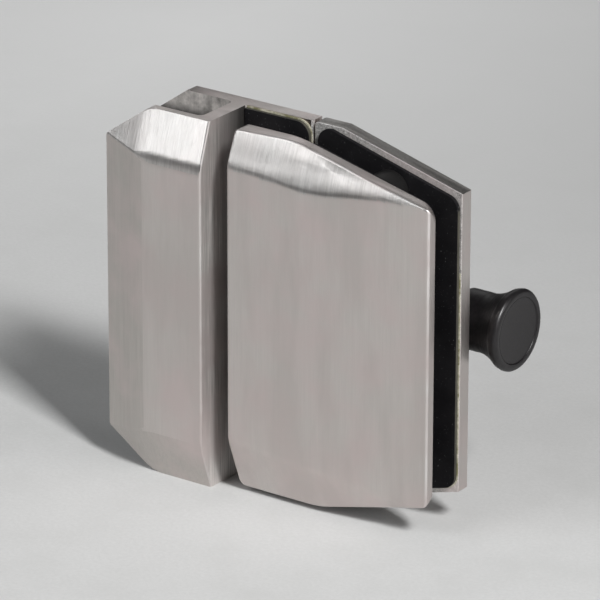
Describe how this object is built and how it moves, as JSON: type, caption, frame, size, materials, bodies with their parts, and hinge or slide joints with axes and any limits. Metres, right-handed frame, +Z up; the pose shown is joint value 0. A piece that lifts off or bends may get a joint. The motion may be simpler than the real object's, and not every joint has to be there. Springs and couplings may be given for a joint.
{
  "type": "pool gate latch",
  "caption": "Glass-to-glass pool gate latch: faceted strike with glass channel and stop, and a tapered cover and back plate that clamp the gate glass, with a side-pulled spring bolt.",
  "frame": {"origin": "bottom centre of the whole latch's box, on the surface it stands on", "axes": "+X along the bolt, from the strike to the knob; +Y from the front cover to the knob's side; +Z up"},
  "size_m": [0.1158, 0.052, 0.11],
  "materials": {
    "satin_steel": "satin, brushed upright",
    "plain_steel": "machined",
    "spring_steel": "drawn wire",
    "gasket_rubber": "matt, slightly dusty",
    "black_nylon": "matt",
    "charcoal_coat": "satin charcoal coat on turned metal"
  },
  "bodies": {
    "latch_unit": {"front_cover": "satin_steel", "cover_pad": "gasket_rubber", "back_plate": "satin_steel", "back_plate_pad": "gasket_rubber", "cover_bolts": "plain_steel", "glass_bushes": "black_nylon", "latch_housing": "plain_steel", "housing_screws": "plain_steel", "housing_end_cap": "plain_steel", "guide_pin": "plain_steel", "return_spring": "spring_steel"},
    "bolt": {"latch_bolt": "plain_steel", "bolt_stop_ring": "spring_steel", "knob": "charcoal_coat", "knob_grub_screw": "plain_steel"},
    "strike": {"strike_body": "satin_steel", "strike_stop_pad": "gasket_rubber", "strike_keeper": "plain_steel", "keeper_screws": "plain_steel", "strike_grub_screws": "plain_steel", "strike_screw_tips": "black_nylon"}
  },
  "joints": [
    {"name": "latch_pull", "type": "slide", "parent": "latch_unit", "child": "bolt", "axis": [1, 0, 0], "range_m": [0, 0.01], "stiffness_N_per_m": 400, "springref_m": -0.012, "deforming": ["return_spring"]},
    {"name": "strike_release", "type": "slide", "parent": "latch_unit", "child": "strike", "axis": [-1, 0, 0], "range_m": [0, 0.04]}
  ]
}
